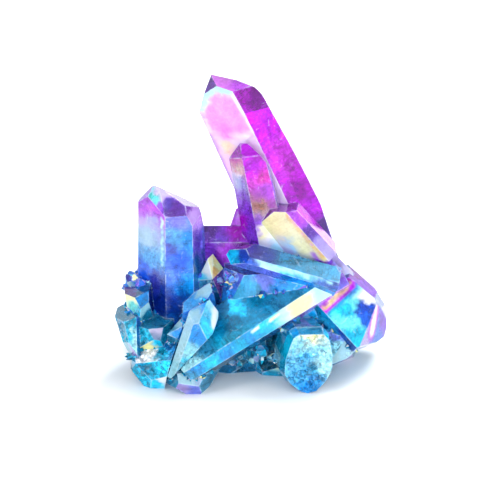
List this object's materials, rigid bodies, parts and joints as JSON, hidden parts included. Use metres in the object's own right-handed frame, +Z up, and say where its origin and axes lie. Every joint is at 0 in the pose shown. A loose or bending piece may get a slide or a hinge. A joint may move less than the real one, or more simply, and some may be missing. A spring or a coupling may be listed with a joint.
{
  "type": "aqua aura quartz cluster",
  "caption": "Cluster of clear quartz points with an iridescent metal film, grown together on a low broken crust that is cut flat underneath.",
  "frame": {"origin": "middle of the flat cut underneath, halfway along the overall width and depth", "axes": "+Z up from the cut towards the tips, -Y the front, +X to the right seen from the front"},
  "size_m": [0.052, 0.0428, 0.0547],
  "materials": {
    "aura_quartz": "clear quartz under a thin metallic film: magenta and violet at the tips, blue, then aqua at the base, with a glassy gloss"
  },
  "bodies": {
    "root": {"quartz_cluster": "aura_quartz"}
  },
  "joints": []
}
